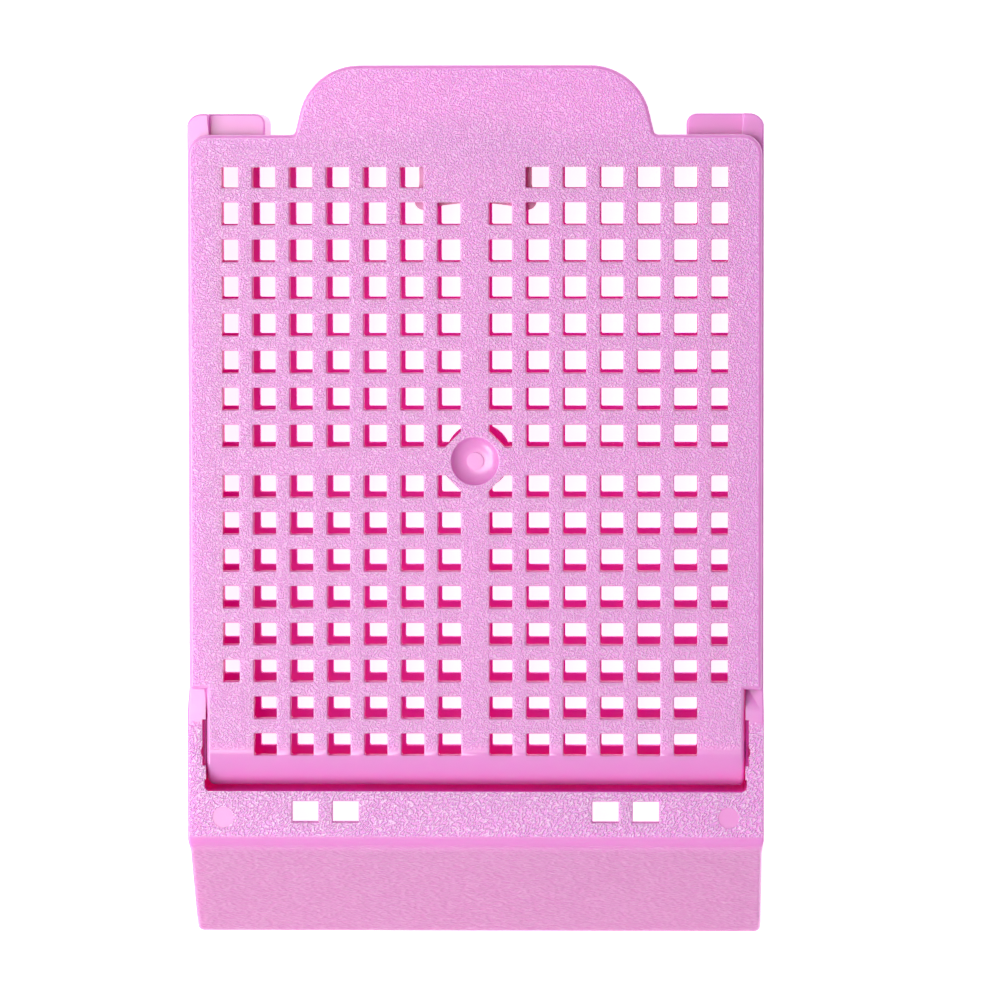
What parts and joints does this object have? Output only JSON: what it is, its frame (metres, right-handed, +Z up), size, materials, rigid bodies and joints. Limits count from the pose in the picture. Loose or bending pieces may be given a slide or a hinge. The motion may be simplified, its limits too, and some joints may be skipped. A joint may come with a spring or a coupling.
{
  "type": "tissue cassette",
  "caption": "Hinged pink plastic histology cassette: a perforated tray with a slanted writing panel, under a perforated snap lid with a rounded thumb tab.",
  "frame": {"origin": "on the flat underside, below the centre of the hole grid", "axes": "+X across the tray, +Y from the writing panel to the thumb tab, +Z up"},
  "size_m": [0.0286, 0.0435, 0.0063],
  "materials": {
    "acetal": "fine grained moulded pink acetal, smooth at the hinge roll, dish and ejector marks"
  },
  "bodies": {
    "base": {"base": "acetal"},
    "lid": {"lid": "acetal"}
  },
  "joints": [
    {"name": "lid_hinge", "type": "hinge", "parent": "base", "child": "lid", "pos_m": [0, -0.01442, 0.0045], "axis": [1, 0, 0], "range_deg": [0, 95]}
  ]
}
